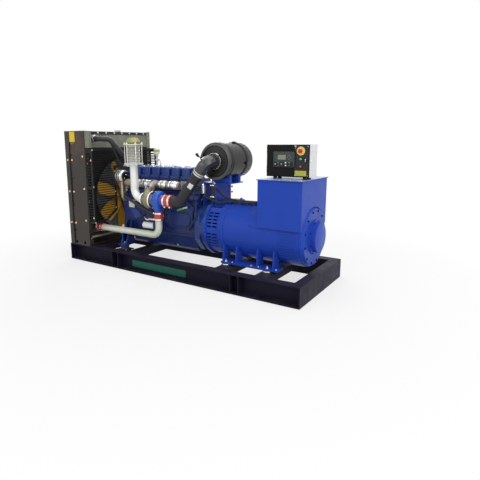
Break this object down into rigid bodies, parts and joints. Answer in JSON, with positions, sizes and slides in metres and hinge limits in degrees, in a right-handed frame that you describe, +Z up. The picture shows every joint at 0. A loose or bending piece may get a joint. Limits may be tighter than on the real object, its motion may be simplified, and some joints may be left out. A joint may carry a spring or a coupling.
{
  "type": "open-frame generating set",
  "caption": "Open-frame diesel or gas generating set: radiator and fan, in-line turbocharged engine, alternator, terminal box and control box on a steel skid.",
  "frame": {"origin": "on the ground at the middle of the skid's footprint", "axes": "+X along the crankshaft from the radiator to the alternator, +Y away from the turbocharger's side, +Z up"},
  "size_m": [3.1, 1.116, 1.606],
  "materials": {
    "skid_black": "black satin paint",
    "rubber_black": "matte black rubber",
    "radiator_paint": "brown-black semi-gloss paint",
    "tank_paint": "greenish grey paint",
    "core_dark": "dark coated fins",
    "cooler_aluminium": "bare cast and finned aluminium",
    "guard_paint": "dark blue-grey paint",
    "fan_yellow": "orange-yellow moulded blades",
    "engine_blue": "dark blue gloss paint over castings",
    "cover_blue": "mid-blue gloss paint",
    "machine_blue": "royal blue gloss paint",
    "lid_grey": "pale grey paint",
    "pipe_silver": "pale silver heat-proof coating",
    "bellows_steel": "stainless bellows and flanges",
    "manifold_iron": "mottled silver-grey casting",
    "turbine_iron": "olive-grey casting",
    "steel_grey": "machined steel",
    "cast_aluminium": "bare die-cast aluminium",
    "silicone_red": "red silicone hose",
    "plastic_black": "black moulded plastic with a sheen",
    "filter_white": "white enamel",
    "panel_white": "off-white powder coat",
    "panel_black": "black satin panel",
    "stop_red": "red gloss plastic",
    "chrome": "polished bezel"
  },
  "bodies": {
    "root": {"skid_beam_near": "skid_black", "skid_beam_far": "skid_black", "skid_end_beams": "skid_black", "skid_cross_beams": "skid_black", "vibration_mounts": "rubber_black", "radiator_side_near": "radiator_paint", "radiator_side_far": "radiator_paint", "radiator_top_tank": "tank_paint", "radiator_core": "core_dark", "charge_air_cooler": "cooler_aluminium", "radiator_base": "radiator_paint", "fan_shroud": "guard_paint", "fan_guard_near": "guard_paint", "fan_guard_far": "guard_paint", "fan_bearing": "engine_blue", "drive_belt": "rubber_black", "charging_alternator": "cast_aluminium", "engine_block": "engine_blue", "oil_pan": "engine_blue", "timing_cover": "engine_blue", "cylinder_heads": "engine_blue", "valve_covers": "cover_blue", "exhaust_manifold": "manifold_iron", "intake_manifold": "engine_blue", "turbine_housing": "turbine_iron", "compressor_housing": "cover_blue", "silicone_hoses": "silicone_red", "charge_pipes": "pipe_silver", "exhaust_pipe": "pipe_silver", "exhaust_bellows": "bellows_steel", "coolant_hose": "rubber_black", "thermostat_housing": "engine_blue", "air_pipe": "rubber_black", "air_filter_elbow": "plastic_black", "air_filter": "plastic_black", "air_filter_bracket": "machine_blue", "oil_cooler_cover": "engine_blue", "oil_filter": "filter_white", "starter_motor": "plastic_black", "injection_pump": "cast_aluminium", "engine_mounts": "machine_blue", "flywheel_housing": "engine_blue", "alternator_drive_end": "machine_blue", "alternator_frame": "machine_blue", "alternator_rear": "machine_blue", "alternator_end_bracket": "machine_blue", "terminal_box": "machine_blue", "control_box": "panel_white", "cable_harness": "rubber_black"},
    "fan": {"fan": "fan_yellow"},
    "crank": {"crank_pulley": "steel_grey"},
    "charging_rotor": {"charging_pulley": "steel_grey"},
    "door": {"control_door": "panel_black"},
    "stop_button": {"emergency_stop": "stop_red"},
    "key": {"key_switch": "chrome"}
  },
  "joints": [
    {"name": "crank_spin", "type": "hinge", "parent": "root", "child": "crank", "pos_m": [-0.965, 0, 0.537], "axis": [1, 0, 0], "continuous": true},
    {"name": "fan_spin", "type": "hinge", "parent": "root", "child": "fan", "pos_m": [-1.144, 0, 0.8], "axis": [1, 0, 0], "continuous": true},
    {"name": "charging_spin", "type": "hinge", "parent": "root", "child": "charging_rotor", "pos_m": [-0.965, -0.27, 1.05], "axis": [1, 0, 0], "continuous": true},
    {"name": "door_hinge", "type": "hinge", "parent": "root", "child": "door", "pos_m": [1.005, -0.15815, 1.27], "axis": [0, 0, -1], "range_deg": [0, 110]},
    {"name": "stop_push", "type": "slide", "parent": "door", "child": "stop_button", "axis": [0, 1, 0], "range_m": [0, 0.006]},
    {"name": "key_turn", "type": "hinge", "parent": "door", "child": "key", "pos_m": [1.405, -0.1743, 1.276], "axis": [0, 1, 0], "range_deg": [0, 90]}
  ],
  "couplings": [
    {"joint": "crank_spin", "follows": "fan_spin", "ratio": 0.70833},
    {"joint": "charging_spin", "follows": "fan_spin", "ratio": 1.8889}
  ]
}
